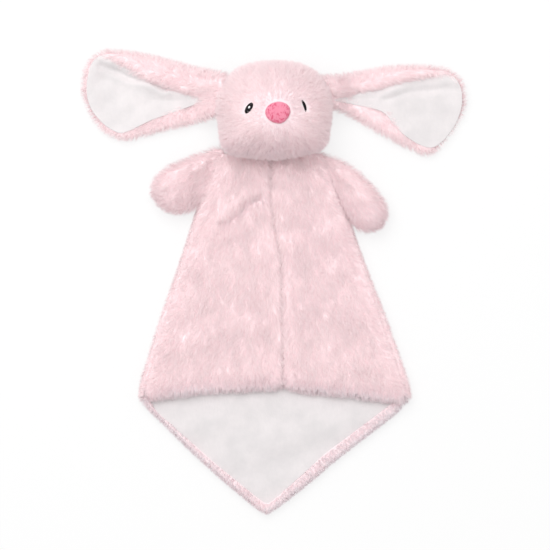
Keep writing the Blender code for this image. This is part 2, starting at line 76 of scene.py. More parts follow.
def below(points, y, run):
    """Share that grows from 0 at y to 1 at a run below it."""
    return smooth_step((y - points[:, 1]) / run)


def above(points, y, run):
    return smooth_step((points[:, 1] - y) / run)


def circle(count):
    """Angles once round."""
    return np.arange(count) * 2 * math.pi / count


def swell(points, size, seed):
    """Soft random ups and downs from -1 to 1, about size apart, at 2-D or 3-D points."""
    rng = np.random.default_rng(seed)
    total = np.zeros(len(points))
    waves = 9
    for _ in range(waves):
        way = unit(rng.normal(size=points.shape[1]))
        pitch = size * rng.uniform(0.7, 1.6)
        total += np.sin(points @ way * (2 * math.pi / pitch) + rng.uniform(0, 2 * math.pi))
    return total / math.sqrt(waves)


def nearest_on(path, points):
    """For each 2-D point: distance to the open path, and signed distance to its left."""
    x, y = np.ascontiguousarray(points[:, 0]), np.ascontiguousarray(points[:, 1])
    best = np.full(len(points), 1e18)
    which = np.zeros(len(points), int)
    for k in range(len(path) - 1):
        (ax, ay), (rx, ry) = path[k], path[k + 1] - path[k]
        dx, dy = x - ax, y - ay
        t = np.clip((dx * rx + dy * ry) / (rx * rx + ry * ry), 0, 1)
        dx -= t * rx
        dy -= t * ry
        d = dx * dx + dy * dy
        closer = d < best
        best[closer] = d[closer]
        which[closer] = k
    runs = np.diff(path, axis=0)[which]
    off = points - path[which]
    t = np.clip(np.sum(off * runs, axis=1) / np.sum(runs * runs, axis=1), 0, 1)
    off -= t[:, None] * runs
    best = np.sqrt(best)
    return best, np.sign(runs[:, 0] * off[:, 1] - runs[:, 1] * off[:, 0]) * best


def distance_to(path, points):
    """Distance in plan from each point to the open path."""
    return nearest_on(path, points[:, :2])[0]


def table(pairs, x):
    """Smooth curve through (place, value) pairs."""
    places, values = zip(*pairs)
    fine = np.linspace(places[0], places[-1], 200)
    curve = np.interp(fine, places, values)
    for _ in range(12):
        curve[1:-1] = (curve[:-2] + 2 * curve[1:-1] + curve[2:]) / 4
    return np.interp(x, fine, curve)


def soft_outline(points, spacing, rounding):
    """Closed outline through the points at an even spacing, with its corners rounded."""
    loop = np.vstack([points, points[:1]])
    steps = np.linalg.norm(np.diff(loop, axis=0), axis=1)
    run = np.concatenate([[0], np.cumsum(steps)])
    count = int(run[-1] / spacing)
    at = np.arange(count) * run[-1] / count
    even = np.column_stack([np.interp(at, run, loop[:, k]) for k in (0, 1)])
    for _ in range(int((rounding / spacing) ** 2 * 2) + 1):
        even = (np.roll(even, 1, 0) + 2 * even + np.roll(even, -1, 0)) / 4
    return even


def signed_area(outline):
    """Area of a closed outline, below zero where it runs clockwise."""
    x, y = outline.T
    return np.sum(x * np.roll(y, -1) - np.roll(x, -1) * y) / 2


def outward(outline):
    """Outward unit normals of a closed outline that runs either way round."""
    along = unit(np.roll(outline, -1, 0) - np.roll(outline, 1, 0))
    normal = np.column_stack([along[:, 1], -along[:, 0]])
    return normal * np.sign(signed_area(outline))


# Mesh helpers

def make_mesh(name, verts, faces, material, uv=None):
    """Smooth mesh from arrays: faces is a list of arrays of equal-sided faces, uv one pair a corner."""
    mesh = bpy.data.meshes.new(name)
    mesh.vertices.add(len(verts))
    mesh.vertices.foreach_set("co", np.asarray(verts, np.float32).ravel())
    sizes = np.concatenate([np.full(len(f), f.shape[1]) for f in faces])
    corners = np.concatenate([f.ravel() for f in faces])
    mesh.loops.add(len(corners))
    mesh.loops.foreach_set("vertex_index", corners.astype(np.int32))
    mesh.polygons.add(len(sizes))
    starts = np.concatenate([[0], np.cumsum(sizes)[:-1]])
    mesh.polygons.foreach_set("loop_start", starts.astype(np.int32))
    mesh.polygons.foreach_set("loop_total", sizes.astype(np.int32))
    mesh.polygons.foreach_set("use_smooth", np.ones(len(sizes), bool))
    if uv is not None:
        layer = mesh.uv_layers.new(name="OFBake")
        layer.data.foreach_set("uv", uv.astype(np.float32).ravel())
    mesh.update(calc_edges=True)
    mesh.validate()
    mesh.materials.append(material)
    thing = bpy.data.objects.new(name, mesh)
    bpy.context.scene.collection.objects.link(thing)
    return thing


def ring_faces(rings, count):
    """Quads between neighbouring rings of count points each, ring after ring."""
    k = np.arange(count)
    a = (np.arange(rings - 1)[:, None] * count + k).ravel()
    b = (np.arange(rings - 1)[:, None] * count + (k + 1) % count).ravel()
    return np.column_stack([a, b, b + count, a + count])


def capped(rings):
    """Closed mesh data from rings of equal size, with a pole at the middle of the first and last."""
    count = len(rings[0])
    verts = np.vstack(list(rings) + [rings[0].mean(0), rings[-1].mean(0)])
    first, last = len(verts) - 2, len(verts) - 1
    k = np.arange(count)
    low = np.column_stack([(k + 1) % count, k, np.full(count, first)])
    start = (len(rings) - 1) * count
    high = np.column_stack([start + k, start + (k + 1) % count, np.full(count, last)])
    return verts, [ring_faces(len(rings), count), low, high]


def body_of_rings(name, rings, material):
    """Closed body from rings that follow each other, with its faces pointing out."""
    verts, faces = capped(rings)
    thing = make_mesh(name, verts, faces, material)
    verts, _, tris = mesh_arrays(thing)
    a, b, c = (verts[tris[:, k]] for k in range(3))
    if np.sum(a * np.cross(b, c)) < 0:
        thing.data.flip_normals()
    return thing


def pad(name, outline, low, high, radius, rings, material, centre):
    """Closed body over an outline, between two heights, with a rounded edge.

    low and high are functions of 2-D points, and the outline can be seen whole from its centre.
    """
    centre = np.array(centre)
    reach = np.sum(outward(outline) * (outline - centre), axis=1)
    shares = 1 - (1 - np.linspace(0.03, 1, rings)) ** 1.6
    under, over = [], []
    for share in shares:
        points = centre + (outline - centre) * share
        inside = np.clip(reach * (1 - share) / radius, 0, 1)
        full = np.sqrt(1 - (1 - inside) ** 2)
        bottom, top = low(points), high(points)
        middle = mix(bottom, top, 0.5)
        under.append(np.column_stack([points, mix(middle, bottom, full)]))
        over.append(np.column_stack([points, mix(middle, top, full)]))
    return body_of_rings(name, under[:-1] + over[::-1], material)


def mesh_arrays(thing):
    """Vertices, their normals and the corners of the triangles."""
    mesh = thing.data
    verts = np.empty(len(mesh.vertices) * 3)
    mesh.vertices.foreach_get("co", verts)
    normals = np.empty(len(mesh.vertices) * 3)
    mesh.vertices.foreach_get("normal", normals)
    mesh.calc_loop_triangles()
    corners = np.empty(len(mesh.loop_triangles) * 3, np.int32)
    mesh.loop_triangles.foreach_get("vertices", corners)
    return verts.reshape(-1, 3), normals.reshape(-1, 3), corners.reshape(-1, 3)


def scatter(thing, density, keep, seed):
    """Random points and normals on a mesh. keep gives each point's chance to stay, from 0 to 1."""
    rng = np.random.default_rng(seed)
    verts, normals, tris = mesh_arrays(thing)
    a, b, c = verts[tris[:, 0]], verts[tris[:, 1]], verts[tris[:, 2]]
    areas = np.linalg.norm(np.cross(b - a, c - a), axis=1) / 2
    count = int(areas.sum() * density)
    which = rng.choice(len(tris), count, p=areas / areas.sum())
    u, v = rng.random(count), rng.random(count)
    flip = u + v > 1
    u[flip], v[flip] = 1 - u[flip], 1 - v[flip]
    share = np.column_stack([1 - u - v, u, v])
    points = np.einsum("nk,nkj->nj", share, verts[tris[which]])
    slopes = unit(np.einsum("nk,nkj->nj", share, normals[tris[which]]))
    stay = rng.random(count) < keep(points, slopes)
    return points[stay], slopes[stay]


# Materials

SEEN_THROUGH = 0.5             # share of the light that passes through a strand
NOSE_DARK = (0.66, 0.10, 0.19)
NOSE_LIGHT = (0.81, 0.26, 0.365)
PINK_ROOT = (1.0, 0.88, 0.89)
PINK_MIDDLE = (1.0, 0.908, 0.917)
PINK_TIP = (1.0, 0.928, 0.936)
# Deep pink for strands that are darker at random and for painted shade; grey for the deepest painted shade
DEEP_ROOT = (0.86, 0.72, 0.75)
DEEP_TIP = (0.92, 0.82, 0.84)
SHADE_GREY_ROOT = (0.88, 0.83, 0.855)
SHADE_GREY_TIP = (0.932, 0.895, 0.91)
LINING_SHADE = (0.72, 0.69, 0.695)
LINING_LIGHT = (0.795, 0.755, 0.76)


class Nodes:
    """Short names for the nodes of one material."""

    def __init__(self, name):
        self.material = bpy.data.materials.new(name)
        self.material.use_nodes = True
        self.tree = self.material.node_tree
        self.shader = self.tree.nodes["Principled BSDF"]

    def add(self, kind, **settings):
        node = self.tree.nodes.new("ShaderNode" + kind)
        for key, value in settings.items():
            setattr(node, key, value)
        return node

    def link(self, a, b):
        self.tree.links.new(a, b)

    def noise(self, scale, detail=3.0, stretch=(1, 1, 1)):
        place = self.add("TexCoord").outputs["Object"]
        if stretch != (1, 1, 1):
            turn = self.add("Mapping")
            turn.inputs["Scale"].default_value = stretch
            self.link(place, turn.inputs["Vector"])
            place = turn.outputs["Vector"]
        node = self.add("TexNoise")
        node.inputs["Scale"].default_value = scale
        node.inputs["Detail"].default_value = detail
        self.link(place, node.inputs["Vector"])
        return node.outputs["Fac"]

    def ramp(self, value, stops):
        node = self.add("ValToRGB")
        marks = node.color_ramp.elements
        for k, (place, colour) in enumerate(stops):
            mark = marks[k] if k < 2 else marks.new(place)
            mark.position = place
            mark.color = (*colour, 1)
        self.link(value, node.inputs["Fac"])
        return node.outputs["Color"]

    def blend(self, share, a, b):
        node = self.add("Mix", data_type="RGBA")
        for value, socket in ((share, node.inputs[0]), (a, node.inputs[6]), (b, node.inputs[7])):
            if isinstance(value, bpy.types.NodeSocket):
                self.link(value, socket)
            else:
                socket.default_value = (*value, 1)
        return node.outputs[2]

    def bump(self, value, strength, distance, onto=None):
        node = self.add("Bump")
        node.inputs["Strength"].default_value = strength
        node.inputs["Distance"].default_value = distance
        self.link(value, node.inputs["Height"])
        if onto is not None:
            self.link(onto, node.inputs["Normal"])
        self.link(node.outputs["Normal"], self.shader.inputs["Normal"])
        return node.outputs["Normal"]

    def finish(self, colour, rough, specular, sheen=0.0):
        self.link(colour, self.shader.inputs["Base Color"])
        for name, value in (("Roughness", rough), ("Specular IOR Level", specular),
                            ("Sheen Weight", sheen), ("Sheen Roughness", 0.5)):
            self.shader.inputs[name].default_value = value
        return self.material


def pile_material():
    """Pink strands: the map's v runs from root to tip, and its u is how deep a strand's colour is.

    That depth mixes random tones with painted shade. The deepest ones are painted shade, as on the hem and
    the border at the cut edges, and turn from pink to grey.
    """
    m = Nodes("pink_pile")
    place = m.add("SeparateXYZ")
    m.link(m.add("UVMap", uv_map="OFBake").outputs["UV"], place.inputs["Vector"])
    along = m.ramp(place.outputs["Y"], [(0.0, PINK_ROOT), (1.0, PINK_TIP), (0.55, PINK_MIDDLE)])
    deep = m.ramp(place.outputs["Y"], [(0.0, DEEP_ROOT), (1.0, DEEP_TIP)])
    pink = m.blend(place.outputs["X"], along, deep)
    # Painted shade: the deepest strands turn grey
    grey = m.ramp(place.outputs["Y"], [(0.0, SHADE_GREY_ROOT), (1.0, SHADE_GREY_TIP)])
    colour = m.blend(m.ramp(place.outputs["X"], [(0.68, (0.0,) * 3), (0.95, (1.0,) * 3)]), pink, grey)
    m.finish(colour, 0.8, specular=0.05)
    through = m.add("BsdfTranslucent")
    m.link(colour, through.inputs["Color"])
    both = m.add("MixShader")
    both.inputs[0].default_value = SEEN_THROUGH
    m.link(m.shader.outputs[0], both.inputs[1])
    m.link(through.outputs[0], both.inputs[2])
    m.link(both.outputs[0], m.tree.nodes["Material Output"].inputs["Surface"])
    return m.material


def cloth_material(name, dark, light):
    """Knitted backing under the pile."""
    m = Nodes(name)
    knit = m.noise(900, 2.0, (1, 0.5, 1))
    colour = m.ramp(m.noise(120, 4.0), [(0.3, dark), (0.7, light)])
    m.bump(knit, 0.4, 0.0004)
    return m.finish(colour, 0.9, specular=0.05)


def lining_material():
    """Smooth white plush of very short pile, brushed in soft patches."""
    m = Nodes("white_lining")
    patches = m.noise(55, 4.0)
    brushed = m.noise(420, 3.0, (1, 0.45, 1))
    base = m.ramp(patches, [(0.3, LINING_SHADE), (0.62, LINING_LIGHT)])
    colour = m.blend(m.ramp(brushed, [(0.35, (0.0,) * 3), (0.8, (0.35,) * 3)]), base, LINING_SHADE)
    soft = m.bump(patches, 0.35, 0.0012)
    m.bump(brushed, 0.5, 0.0005, soft)
    return m.finish(colour, 0.85, sheen=0.35, specular=0.15)


def nose_material():
    """Brushed satin stitches that run down the nose, paler in random patches."""
    m = Nodes("nose_thread")
    stitches = m.noise(1300, 2.0, (1, 0.22, 0.4))
    patches = m.noise(330, 3.0)
    both = m.add("Math", operation="ADD")
    m.link(stitches, both.inputs[0])
    m.link(patches, both.inputs[1])
    colour = m.ramp(both.outputs[0], [(0.82, NOSE_DARK), (1.18, NOSE_LIGHT)])
    soft = m.bump(patches, 0.35, 0.0010)
    m.bump(stitches, 0.9, 0.0004, soft)
    return m.finish(colour, 0.62, sheen=0.25, specular=0.3)


def thread_material(name, dark, light, rough, stretch, sheen):
    """Satin stitches that lie side by side."""
    m = Nodes(name)
    stitches = m.noise(1500, 1.5, stretch)
    colour = m.ramp(stitches, [(0.3, dark), (0.7, light)])
    m.bump(stitches, 0.8, 0.0003)
    return m.finish(colour, rough, sheen=sheen, specular=0.12)


PILE = pile_material()
BACKING = cloth_material("pink_backing", (0.98, 0.80, 0.83), (1.0, 0.87, 0.885))
FACE_BACKING = cloth_material("face_backing", (0.89, 0.745, 0.77), (0.94, 0.82, 0.84))
LINING = lining_material()


# Pile

PILE_DENSITY = 1.6e6           # strands in a square metre of cloth
TUFT = 7                       # strands that stick together
SHARES = (0.0, 0.36, 0.7, 1.0)  # ends of a strand's three runs, along its length
BENDS = (0.70, 1.05, 1.2)      # lean of each run, as a share of the strand's lean
WIDTHS = (1.0, 0.85, 0.6)      # where each run starts, as a share of the root's width
STRAND_WIDTH = 0.00038
STRAND_LEAN = 75               # degrees from the cloth's normal
MOST_LEAN = 1.9                # radians
TUFT_TURN, STRAND_TURN = 16, 12  # degrees that tufts, and strands in them, turn from the flow
GRIP = 0.35                    # how far a tip is drawn into its tuft
SUNK = 0.0008                  # roots start below the cloth's surface
FLOOR_GAP = 0.0004             # strands stay above the table
PLAIN_TONE = 0.12


def turned(way, normal, angle):
    """way turned about the normal it is square to."""
    return way * np.cos(angle)[:, None] + np.cross(normal, way) * np.sin(angle)[:, None]


def strand_verts(spots, normals, roll):
    """Seven vertices a strand: a flat blade with a pointed tip."""
    verts = []
    for k, width in enumerate(WIDTHS):
        run = unit(spots[k + 1] - spots[k])
        across = unit(np.cross(run, normals))
        across = across * np.cos(roll) + np.cross(run, across) * np.sin(roll)
        half = across * STRAND_WIDTH / 2 * width
        verts += [spots[k] - half, spots[k] + half]
    verts.append(spots[3])
    return np.stack(verts, axis=1).reshape(-1, 3)


def strand_faces(count):
    first = np.arange(count)[:, None] * 7
    quads = np.stack([first + [0, 1, 3, 2], first + [2, 3, 5, 4]], axis=1).reshape(-1, 4)
    return [quads, first + [4, 5, 6]]


def strand_map(deep):
    """The map's u is the strand's depth of colour, from random tones and painted shade, with a sliver of
    width, and its v runs from root to tip.
    """
    left, right = deep - 0.004, deep + 0.004
    low, mid, high, top = [np.full((len(deep), 1), 0.02 + 0.96 * s) for s in SHARES]
    first_quad = np.stack([left, low, right, low, right, mid, left, mid], axis=1)
    next_quad = np.stack([left, mid, right, mid, right, high, left, high], axis=1)
    quads = np.stack([first_quad, next_quad], axis=1).reshape(-1, 2)
    tris = np.stack([left, high, right, high, deep, top], axis=1).reshape(-1, 2)
    return np.vstack([quads, tris])


def pile(name, skin, length, flow, keep, seed, lean=STRAND_LEAN, density=1.0, painted_shading=None):
    """Strands on a skin. length, flow, keep and painted_shading are functions of points and normals.

    Strands stand up more where the cloth turns to the side.
    """
    points, normals = scatter(skin, PILE_DENSITY * density, keep, seed)
    rng = np.random.default_rng(seed + 1000)
    count = len(points)
    heads = rng.choice(count, max(count // TUFT, 1), replace=False)
    tree = KDTree(len(heads))
    for k, head in enumerate(heads):
        tree.insert(points[head], k)
    tree.balance()
    owner = np.array([tree.find(p)[1] for p in points])
    way = flow(points, normals)
    way = unit(way - normals * np.sum(way * normals, axis=1, keepdims=True))
    spin = math.radians(TUFT_TURN) * np.clip(rng.normal(0, 1, len(heads)), -1.5, 1.5)[owner]
    spin += rng.normal(0, math.radians(STRAND_TURN), count) + 0.16 * swell(points, 0.014, seed)
    way = turned(way, normals, spin)
    side_on = smooth_step(1.3 - 1.6 * np.abs(normals[:, 2]))
    tilt = np.radians(mix(lean, lean * 0.5, side_on))
    tilt *= rng.uniform(0.97, 1.04, len(heads))[owner] * rng.uniform(0.88, 1.1, count)
    size = length(points, normals) * rng.uniform(0.9, 1.1, len(heads))[owner]
    size *= 1 + rng.uniform(-0.22, 0.1, count)
    spots = [points - normals * SUNK]
    for bend, start, stop in zip(BENDS, SHARES, SHARES[1:]):
        angle = np.minimum(tilt * bend, MOST_LEAN)[:, None]
        run = normals * np.cos(angle) + way * np.sin(angle)
        spots.append(spots[-1] + run * ((stop - start) * size[:, None]))
    leaders = [spot[heads][owner] for spot in spots]
    grip = GRIP * rng.uniform(0.6, 1.2, len(heads))[owner]
    spots = [mix(p, q, (grip * share)[:, None]) for p, q, share in zip(spots, leaders, SHARES)]
    for spot in spots:
        spot[:, 2] = np.maximum(spot[:, 2], FLOOR_GAP)
    roll = rng.uniform(-0.45, 0.45, count)[:, None]
    deep = PLAIN_TONE + rng.normal(0, 0.09, len(heads))[owner] + rng.normal(0, 0.17, count)
    deep += 0.06 * swell(points, 0.05, seed + 5)
    # Painted shade and light: strands darker where shade falls, lighter against shade
    if painted_shading is not None:
        deep += painted_shading(points, normals)
    deep = np.clip(deep, 0.03, 0.97)[:, None]
    strands = make_mesh(name, strand_verts(spots, normals, roll), strand_faces(count), PILE,
                        strand_map(deep))
    return strands


# The blanket

def spots(*pairs):
    return np.array(pairs, float) * MM


def inset(outline, gap):
    return outline - outward(outline) * gap


def depth_in(outline, points):
    """How far points lie inside a closed outline, and below zero outside it."""
    loop = np.vstack([outline, outline[:1]])
    distance = distance_to(loop, points)
    inside = np.zeros(len(points), bool)
    for (ax, ay), (bx, by) in zip(loop[:-1], loop[1:]):
        spans = (ay > points[:, 1]) != (by > points[:, 1])
        with np.errstate(divide="ignore", invalid="ignore"):
            cross = ax + (points[:, 1] - ay) / (by - ay) * (bx - ax)
        inside ^= spans & (points[:, 0] < cross)
    return np.where(inside, distance, -distance)


def level(height):
    return lambda points: np.full(len(points), height)


CLOTH_FLOOR = 0.0012           # underside of the cloth that lies lowest, on its own pile
BACK_HIGH = 0.0046
BACK_LINING_HIGH = 0.0068
FRONT_LINING_Z = (0.0072, 0.0087)
FRONT_LOW = 0.0089
FRONT_HIGH = 0.0132 + 0.0012   # top of the front cloth, and its loft
LINING_EDGE = 0.0007           # rounding of a lining's edge
BORDER = 0.0095                # width of the outer cloth's turned edge on the lining's side
STEP = 0.0025                  # between the points of an outline
SHOULDER = 0.004               # rounding of the back's corners
FRONT_ROUNDING = 0.003
FREE_CORNER_Y = -0.088         # the back shows below the front's hem from here

BACK = soft_outline(
    spots(
        (-57, 144), (-61.5, 130), (-97.5, 18), (-129.5, -93), (-125, -103), (-77, -150.5), (-51, -174),
        (-7.5, -210), (31, -180), (61, -154.5), (122, -107.5), (131.5, -93), (94.5, 18), (54.5, 130),
        (50, 144)), STEP, SHOULDER)
BACK_LINING = soft_outline(
    spots(
        (-57.5, 127), (-95.5, 18), (-126.5, -92), (-117.5, -108.5), (-61, -159), (-6, -203),
        (25, -174.5), (54, -149), (111, -106), (128.5, -92), (92.5, 18), (51, 127)), STEP, SHOULDER)
BACK_CENTRE = (0, -0.03)
FOLDS = {"left": spots((-60, 132), (-96, 17), (-131, -97)), "right": spots((53, 132), (93, 17), (133, -97))}
FRONT_EDGES = {
    "left": spots(
        (-3.8, 144), (-3.4, 100), (-1.3, 75), (2.4, 61), (6.8, 38), (7.0, 2), (8.0, -38), (7.8, -80)),
    "right": spots(
        (-3.4, 144), (-3.0, 100), (-0.9, 75), (2.8, 61), (7.2, 38), (7.4, 2), (8.4, -38), (8.6, -80)),
}
HEMS = {
    "left": spots((4, -84.5), (-20, -85), (-62, -87.5), (-94, -91), (-123, -96), (-128, -92)),
    "right": spots((12, -84.5), (32, -86.5), (60, -90), (86, -93), (108, -97), (126, -98), (130.5, -93)),
}
FRONT_TOPS = {"left": spots((-95, 18), (-59, 130), (-55, 144)),
              "right": spots((92, 18), (52, 130), (48, 144))}
FRONTS = {side: soft_outline(np.vstack([FRONT_EDGES[side], HEMS[side], FRONT_TOPS[side]]), STEP,
                             FRONT_ROUNDING) for side in SIDES}
CREASE = spots((-6, 101), (-16, 99), (-25, 96), (-33, 86), (-48, 75))
FOLD_Z = 0.00785               # height of the line that each side folds about
FOLD_HALF_HEIGHT = 0.0046
FOLD_SEGMENTS = 24             # round the strip at a side fold
FOLD_PILE = 0.0052


def back_high(points):
    """Top of the outer cloth at the back: flat, with its turned edge standing on the lining."""
    off_lining = fade((depth_in(BACK_LINING, points) + 0.001) / 0.003)
    return BACK_HIGH + 0.0052 * below(points, -0.090, 0.006) * off_lining


def back_lining_high(points):
    return BACK_LINING_HIGH + below(points, -0.098, 0.02) * (0.0011 * swell(points, 0.045, 3) + 0.0009)


def back_lining_low(points):
    return back_lining_high(points) - 0.0013


def front_folds(side):
    """Soft hills and creases of one side of the front."""
    def rise(points):
        x, y = points.T
        along = np.column_stack([x, y * 0.55])
        hills = 0.0013 * swell(along, 0.055, 11 if side == "left" else 12)
        hills += 0.0006 * swell(points, 0.022, 14)
        if side == "left":
            distance, left = nearest_on(CREASE, points)
            hills -= 0.0034 * np.exp(-(distance / 0.0055) ** 2)
            hills += 0.0030 * np.exp(-((left + 0.009) / 0.008) ** 2) * np.exp(-(distance / 0.016) ** 2)
            hills += 0.0022 * np.exp(-((left - 0.010) / 0.007) ** 2) * np.exp(-(distance / 0.016) ** 2)
        return hills * smooth_step(depth_in(FRONTS[side], points) / 0.012)
    return rise


def front_high(side):
    folds = front_folds(side)

    def high(points):
        x, y = points.T
        under_chin = 0.0044 * np.exp(-((y - 0.125) / 0.011) ** 2)
        under_chin *= fade((np.abs(x) - 0.015) / 0.035)
        return FRONT_HIGH + folds(points) + under_chin
    return high


def free_edge(side):
    return np.vstack([FRONT_EDGES[side], HEMS[side]])


def front_low(side):
    """Underside of the front cloth, lower where its free edge is turned under the lining."""
    def low(points):
        distance = distance_to(free_edge(side), points)
        return FRONT_LOW - 0.0016 * fade((distance - 0.006) / 0.004)
    return low


def front_lining_outline(side):
    way = SIDES[side]
    edge, hem = FRONT_EDGES[side], HEMS[side]
    inner = edge + np.array([way * BORDER, 0])
    lower = hem[1:-2] + np.array([0, BORDER])
    corner = spots((way * 125.5, -86), FRONT_TOPS[side][0] / MM - [way * 1.5, 0])
    top = spots((-55.5, 127) if side == "left" else (49, 127))
    inner[0, 1] = top[0, 1]
    inner[-1, 1] = lower[0, 1]
    return soft_outline(np.vstack([top, inner, lower, corner]), STEP, FRONT_ROUNDING)


def blanket_flow(points, rise):
    """Pile of the body hangs towards the hem, and turns outwards at the sides, where it rises or falls."""
    spread = 0.5 * (points[:, 0] / 0.12)
    way = np.column_stack([spread, np.full(len(points), -1.0), np.zeros(len(points))])
    for side in SIDES:
        turn = fade(distance_to(FOLDS[side], points) / 0.020)[:, None]
        out = np.array([SIDES[side], 0.05, rise])
        way = mix(way, out, turn * 0.85)
    return unit(way)


def short_at_folds(points):
    """Share of the pile's length that shows where the blanket is folded."""
    share = np.ones(len(points))
    for fold in FOLDS.values():
        share -= 0.46 * fade(distance_to(fold, points) / 0.012) * above(points, -0.098, 0.03)
    return share


def fold_line(side, y):
    """x of a side fold at y."""
    fold = FOLDS[side]
    return np.interp(-y, -fold[:, 1], fold[:, 0])


def make_fold(side):
    """The outer cloth where it turns round the side fold, with its edges tucked into the back and front."""
    way, fold = SIDES[side], FOLDS[side]
    turn = circle(FOLD_SEGMENTS)
    tuck = 0.0002 + 0.0024 * smooth_step((np.abs(np.sin(turn)) - 0.5) * 2)
    tuck /= np.maximum(np.abs(np.cos(turn)), 1 / 3)
    rings = []
    for y in np.arange(0.100, -0.0955, -0.0025):
        middle = fold_line(side, y)
        out = 0.0006 + 0.0032 * smooth_step((0.055 - y) / 0.085) * smooth_step((y + 0.098) / 0.020)
        reach = np.where(np.cos(turn) > 0, out, tuck)
        rings.append(np.column_stack([middle + way * reach * np.cos(turn), np.full(FOLD_SEGMENTS, y),
                                      FOLD_Z + FOLD_HALF_HEIGHT * np.sin(turn)]))
    cover = body_of_rings(side + "_fold_cover", rings, BACKING)

    def length(points, normals):
        return np.full(len(points), FOLD_PILE)

    def flow(points, normals):
        return np.broadcast_to(unit(np.array([way * 0.8, -0.6, 0.0])), points.shape)

    def keep(points, normals):
        outside = way * (points[:, 0] - fold_line(side, points[:, 1])) > -0.0018
        return np.where(outside, 1.0, 0.0)

    strands = pile(side + "_fold_pile", cover, length, flow, keep, 91 + way)
    for thing in (cover, strands):
        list(fold[1])
        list(fold[1])
        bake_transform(thing)
    return [cover, strands]


def declare_sheet(outline, pieces):
    """Works out the area of a sheet's outline, and keeps nothing. The cut of a sheet
    that lies almost flat is its outline.
    """
    area = abs(signed_area(outline))


def blend_front(thing, side):
    """Bakes the piece's place into its mesh."""
    start, end = FOLDS[side][0], FOLDS[side][-1]
    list(start)
    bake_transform(thing)


def make_back():
    cover = pad("back_cover", BACK, level(CLOTH_FLOOR), back_high, 0.0022, 44, BACKING, BACK_CENTRE)
    lining = pad("back_lining", BACK_LINING, back_lining_low, back_lining_high, LINING_EDGE, 60, LINING,
                 BACK_CENTRE)

    def length(points, normals):
        short = 1 - 0.36 * below(points, -0.094, 0.010)
        return np.where(normals[:, 2] < -0.5, 0.006, 0.0085) * short_at_folds(points) * short

    def flow(points, normals):
        way = blanket_flow(points, 0.45)
        edge = depth_in(BACK, points[:, :2])
        lower = below(points, FREE_CORNER_Y, 0.01) * fade((edge - 0.009) / 0.006)
        side = np.clip((points[:, 0] + 0.0075) / 0.012, -1, 1)
        out = np.column_stack([side * 0.62, np.full(len(points), -0.78), np.zeros(len(points))])
        return unit(mix(way, out, lower[:, None]))

    def keep(points, normals):
        plan = points[:, :2]
        on_lining = depth_in(BACK_LINING, plan) > 0.0008
        under = normals[:, 2] < -0.5
        return np.where(under, 0.75, np.where(on_lining, 0.0, 1.0))

    def painted_shading(points, normals):
        # Painted shade: the pile that shows below the front's hem is darker and greyer, more so at its
        # outer edge and on the right
        outer = fade((depth_in(BACK, points[:, :2]) - 0.002) / 0.006)
        right = smooth_step((points[:, 0] + 0.010) / 0.01)
        return (0.58 + 0.12 * right + 0.16 * outer) * below(points, FREE_CORNER_Y, 0.010)

    strands = pile("back_pile", cover, length, flow, keep, 21, lean=76, density=1.15, painted_shading=painted_shading)
    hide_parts("back_panel_plush", "corner_plush")
    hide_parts("back_panel_lining", "corner_lining")
    for thing in (cover, lining, strands):
        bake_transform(thing)
    declare_sheet(BACK, [strands])
    declare_sheet(BACK_LINING, [])


def make_front(side):
    outline, lining_outline = FRONTS[side], front_lining_outline(side)
    low, high = [level(z) for z in FRONT_LINING_Z]
    centre = (SIDES[side] * 0.055, -0.005)
    cover = pad(side + "_front_cover", outline, front_low(side), front_high(side), 0.0028, 40, BACKING,
                centre)
    lining = pad(side + "_front_lining", lining_outline, low, high, LINING_EDGE, 40, LINING, centre)

    def length(points, normals):
        return (0.0090 + 0.0012 * swell(points, 0.03, 5)) * short_at_folds(points)

    def flow(points, normals):
        way = blanket_flow(points, -0.45)
        at_hem = fade((distance_to(HEMS[side], points) - 0.003) / 0.010)[:, None]
        way = mix(way, np.array([0.0, -1.0, -0.25]), at_hem)
        near = fade(distance_to(FRONT_EDGES[side], points) / 0.012)[:, None]
        way = mix(way, np.array([-SIDES[side] * 0.8, -0.6, 0.0]), near * 0.7)
        return unit(way)

    def keep(points, normals):
        under = normals[:, 2] < -0.4
        return np.where(under, 0.9 * (distance_to(free_edge(side), points) < 0.0105), 1.0)

    def painted_shading(points, normals):
        # Painted shade towards the hem, where the pile turns down away from the light
        deep = 0.62 * fade((distance_to(HEMS[side], points) - 0.001) / 0.018)
        if side == "left":
            # Painted shade in the crease
            deep += 0.5 * np.exp(-(distance_to(CREASE, points) / 0.0035) ** 2)
        # Painted light just below the chin, against the shade there
        deep -= 0.35 * above(points, 0.127, 0.008)
        # Painted shade on the right side, as the light comes from the left
        return deep + 0.10 * smooth_step(points[:, 0] / 0.03) * above(points, -0.03, 0.03)

    strands = pile(side + "_front_pile", cover, length, flow, keep, 31 + SIDES[side], painted_shading=painted_shading)
    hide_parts(side + "_chest_plush", side + "_flap_plush")
    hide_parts(side + "_chest_lining", side + "_flap_lining")
    for thing in (cover, lining, strands):
        blend_front(thing, side)
    declare_sheet(outline, [strands, *make_fold(side)])
    declare_sheet(lining_outline, [])


# The head and face

